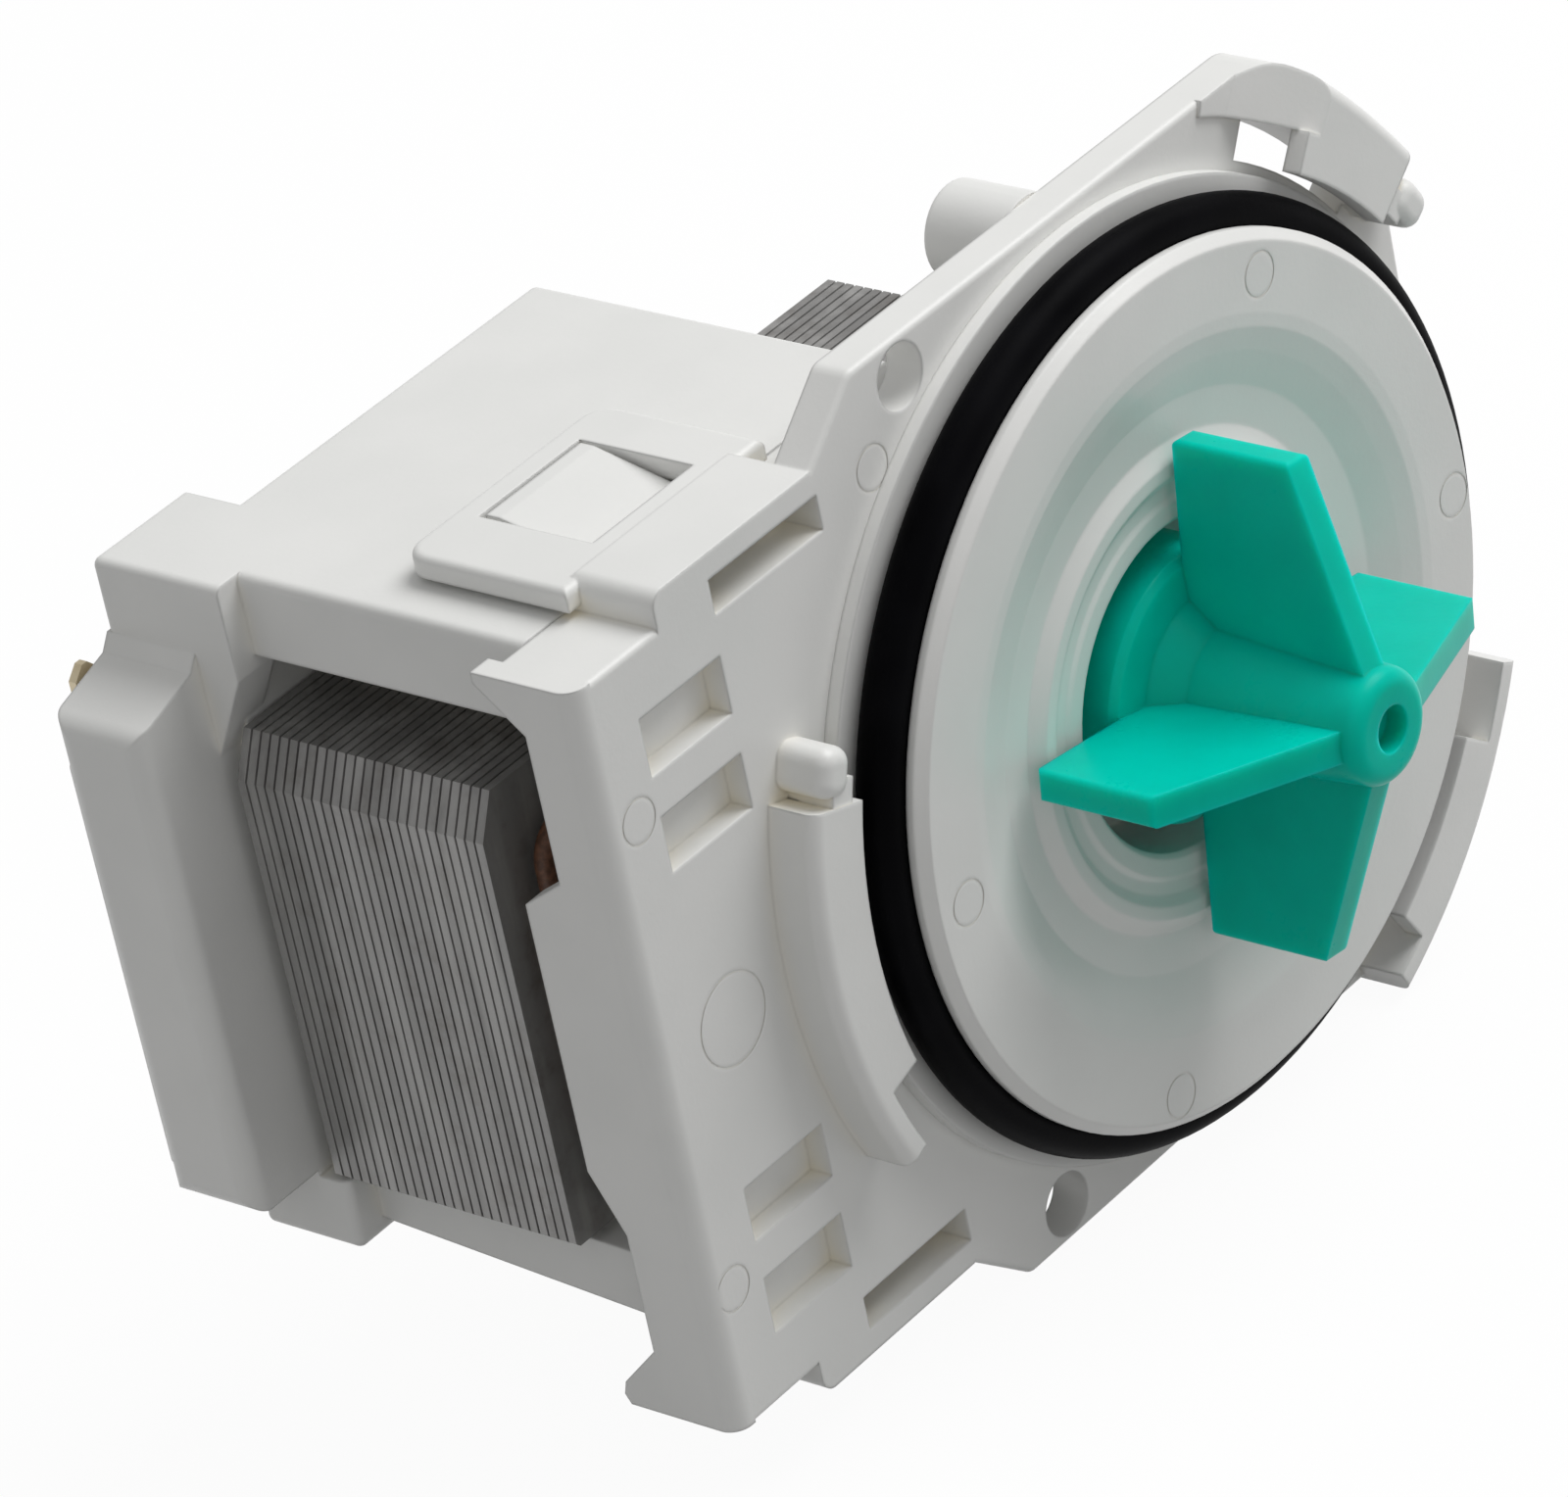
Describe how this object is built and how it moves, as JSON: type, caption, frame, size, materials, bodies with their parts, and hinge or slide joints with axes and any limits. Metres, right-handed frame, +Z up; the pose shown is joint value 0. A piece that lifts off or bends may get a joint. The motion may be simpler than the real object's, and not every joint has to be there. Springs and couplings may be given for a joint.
{
  "type": "dishwasher drain pump",
  "caption": "Wet-rotor synchronous drain pump with a bayonet seal flange, open radial impeller, stacked-sheet stator and latched motor cover.",
  "frame": {"origin": "pump axis at the mounting plate's front face", "axes": "-Y along the pump axis towards the impeller's nose, +Z up, +X away from the stator's yoke"},
  "size_m": [0.1123, 0.0802, 0.086],
  "materials": {
    "white_plastic": "moulded off-white polypropylene, satin",
    "seal_rubber": "black O-ring rubber",
    "core_steel": "stamped electrical steel, stacked sheets",
    "bobbin_nylon": "natural nylon",
    "enamelled_copper": "enamelled copper wire",
    "brass": "stamped brass",
    "ceramic": "dark carbon-graphite",
    "seat_rubber": "black moulded rubber",
    "shaft_steel": "ground stainless steel",
    "ferrite": "dark sintered ferrite",
    "green_plastic": "teal green moulded plastic"
  },
  "bodies": {
    "housing": {"front_cover": "white_plastic", "wet_end_disc": "white_plastic", "seal_ring": "seal_rubber", "motor_cover": "white_plastic", "stator_core": "core_steel", "bobbin_upper": "bobbin_nylon", "bobbin_lower": "bobbin_nylon", "coil_body_upper": "enamelled_copper", "coil_body_lower": "enamelled_copper", "coil_wire_upper": "enamelled_copper", "coil_wire_lower": "enamelled_copper", "coil_link": "enamelled_copper", "terminals": "brass", "bearing_retainer": "bobbin_nylon", "front_bearing": "ceramic", "rear_bearing": "ceramic", "front_bearing_rubber": "seat_rubber", "rear_bearing_rubber": "seat_rubber"},
    "rotor": {"rotor_shaft": "shaft_steel", "rotor_carrier": "bobbin_nylon", "rotor_magnet": "ferrite", "thrust_washers": "shaft_steel", "drive_dog": "bobbin_nylon"},
    "impeller": {"impeller": "green_plastic"}
  },
  "joints": [
    {"name": "rotor_spin", "type": "hinge", "parent": "housing", "child": "rotor", "pos_m": [0, 0, 0], "axis": [0, 1, 0], "continuous": true},
    {"name": "impeller_play", "type": "hinge", "parent": "rotor", "child": "impeller", "pos_m": [0, 0, 0], "axis": [0, 1, 0], "range_deg": [-58, 58]}
  ]
}
